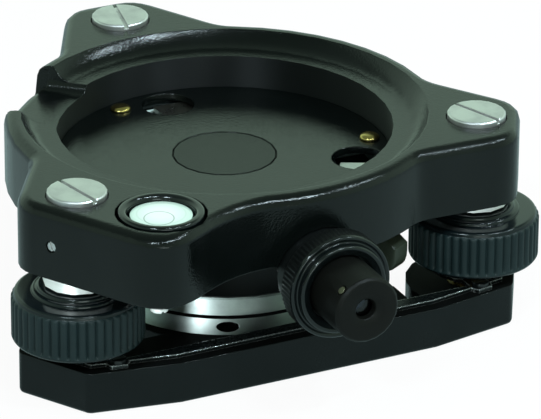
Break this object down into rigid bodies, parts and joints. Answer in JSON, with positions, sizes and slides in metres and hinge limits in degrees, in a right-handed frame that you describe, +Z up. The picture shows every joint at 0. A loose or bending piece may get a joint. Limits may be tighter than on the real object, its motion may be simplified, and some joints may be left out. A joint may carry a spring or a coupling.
{
  "type": "tribrach",
  "caption": "Three-cornered levelling base with foot screws, a round socket with a lock, a circular level and an optical plummet.",
  "frame": {"origin": "on the vertical axis of the socket and the tripod bush, at the underside of the base", "axes": "+Z up along the vertical axis, -Y along the plummet towards its eyepiece, +Y towards the rear foot screw"},
  "size_m": [0.1536, 0.172, 0.058],
  "materials": {
    "casting_black": "black enamel on a light alloy casting, semi-gloss, fine orange peel",
    "black_metal": "black anodised, satin",
    "knob_plastic": "moulded black plastic, satin",
    "lever_plastic": "moulded olive-black plastic, satin",
    "satin_steel": "satin turned steel",
    "spring_steel": "blackened spring steel, satin",
    "brass": "turned brass",
    "clear_glass": "clear polished glass",
    "vial_glass": "pale green filled glass"
  },
  "bodies": {
    "base": {"base_plate": "casting_black", "front_spring": "spring_steel", "rear_spring": "spring_steel", "spring_screw_1": "spring_steel", "spring_screw_2": "spring_steel", "spring_screw_3": "spring_steel", "centre_bush": "satin_steel", "foot_cup_a": "brass", "foot_cup_b": "brass", "foot_cup_c": "brass"},
    "foot_screw_a": {"foot_spindle_a": "brass", "foot_knob_a": "knob_plastic"},
    "foot_screw_b": {"foot_spindle_b": "brass", "foot_knob_b": "knob_plastic"},
    "foot_screw_c": {"foot_spindle_c": "brass", "foot_knob_c": "knob_plastic"},
    "head": {"head_body": "casting_black", "socket_floor": "casting_black", "centre_disc": "casting_black", "level_housing": "black_metal", "level_vial": "vial_glass", "level_screw_1": "satin_steel", "level_screw_2": "satin_steel", "level_screw_3": "satin_steel", "thread_sleeve_a": "satin_steel", "thread_sleeve_b": "satin_steel", "thread_sleeve_c": "satin_steel", "screw_cap_a": "satin_steel", "screw_cap_b": "satin_steel", "screw_cap_c": "satin_steel", "grip_screw_a": "satin_steel", "grip_screw_b": "satin_steel", "grip_screw_c": "satin_steel", "seat_pad_a": "brass", "seat_pad_b": "brass", "seat_pad_c": "brass", "drum": "black_metal", "drum_ring": "satin_steel", "drum_screw_1": "satin_steel", "drum_screw_2": "satin_steel", "drum_screw_3": "satin_steel", "plummet_housing": "black_metal", "plummet_tube": "black_metal", "prism_tower": "black_metal", "prism": "clear_glass", "objective_lens": "clear_glass", "reticle_cell": "black_metal", "reticle": "clear_glass"},
    "lock": {"lock_ring": "satin_steel", "lock_claw_a": "satin_steel", "lock_claw_b": "satin_steel", "lock_claw_c": "satin_steel", "lock_lever": "lever_plastic", "lever_screw": "satin_steel"},
    "focus": {"focus_ring": "black_metal"},
    "eyepiece": {"eyepiece": "black_metal", "eye_lens": "clear_glass", "eye_screw": "satin_steel"}
  },
  "joints": [
    {"name": "foot_screw_a_spin", "type": "hinge", "parent": "base", "child": "foot_screw_a", "pos_m": [0, 0.0682, 0.0225], "axis": [0, 0, 1], "range_deg": [-2160, 0]},
    {"name": "foot_screw_b_spin", "type": "hinge", "parent": "base", "child": "foot_screw_b", "pos_m": [0.05906, -0.0341, 0.0225], "axis": [0, 0, 1], "range_deg": [-2160, 0]},
    {"name": "foot_screw_c_spin", "type": "hinge", "parent": "base", "child": "foot_screw_c", "pos_m": [-0.05906, -0.0341, 0.0225], "axis": [0, 0, 1], "range_deg": [-2160, 0]},
    {"name": "head_lift", "type": "slide", "parent": "base", "child": "head", "axis": [0, 0, 1], "range_m": [0, 0.006]},
    {"name": "lock_turn", "type": "hinge", "parent": "head", "child": "lock", "pos_m": [0, 0, 0.0367], "axis": [0, 0, 1], "range_deg": [-14, 0]},
    {"name": "focus_turn", "type": "hinge", "parent": "head", "child": "focus", "pos_m": [0, -0.068, 0.0334], "axis": [0, -1, 0], "range_deg": [-150, 150]},
    {"name": "eyepiece_turn", "type": "hinge", "parent": "head", "child": "eyepiece", "pos_m": [0, -0.078, 0.0334], "axis": [0, -1, 0], "range_deg": [-120, 120]}
  ],
  "couplings": [
    {"joint": "foot_screw_a_spin", "follows": "head_lift", "rad_per_m": -6283.2},
    {"joint": "foot_screw_b_spin", "follows": "head_lift", "rad_per_m": -6283.2},
    {"joint": "foot_screw_c_spin", "follows": "head_lift", "rad_per_m": -6283.2}
  ]
}
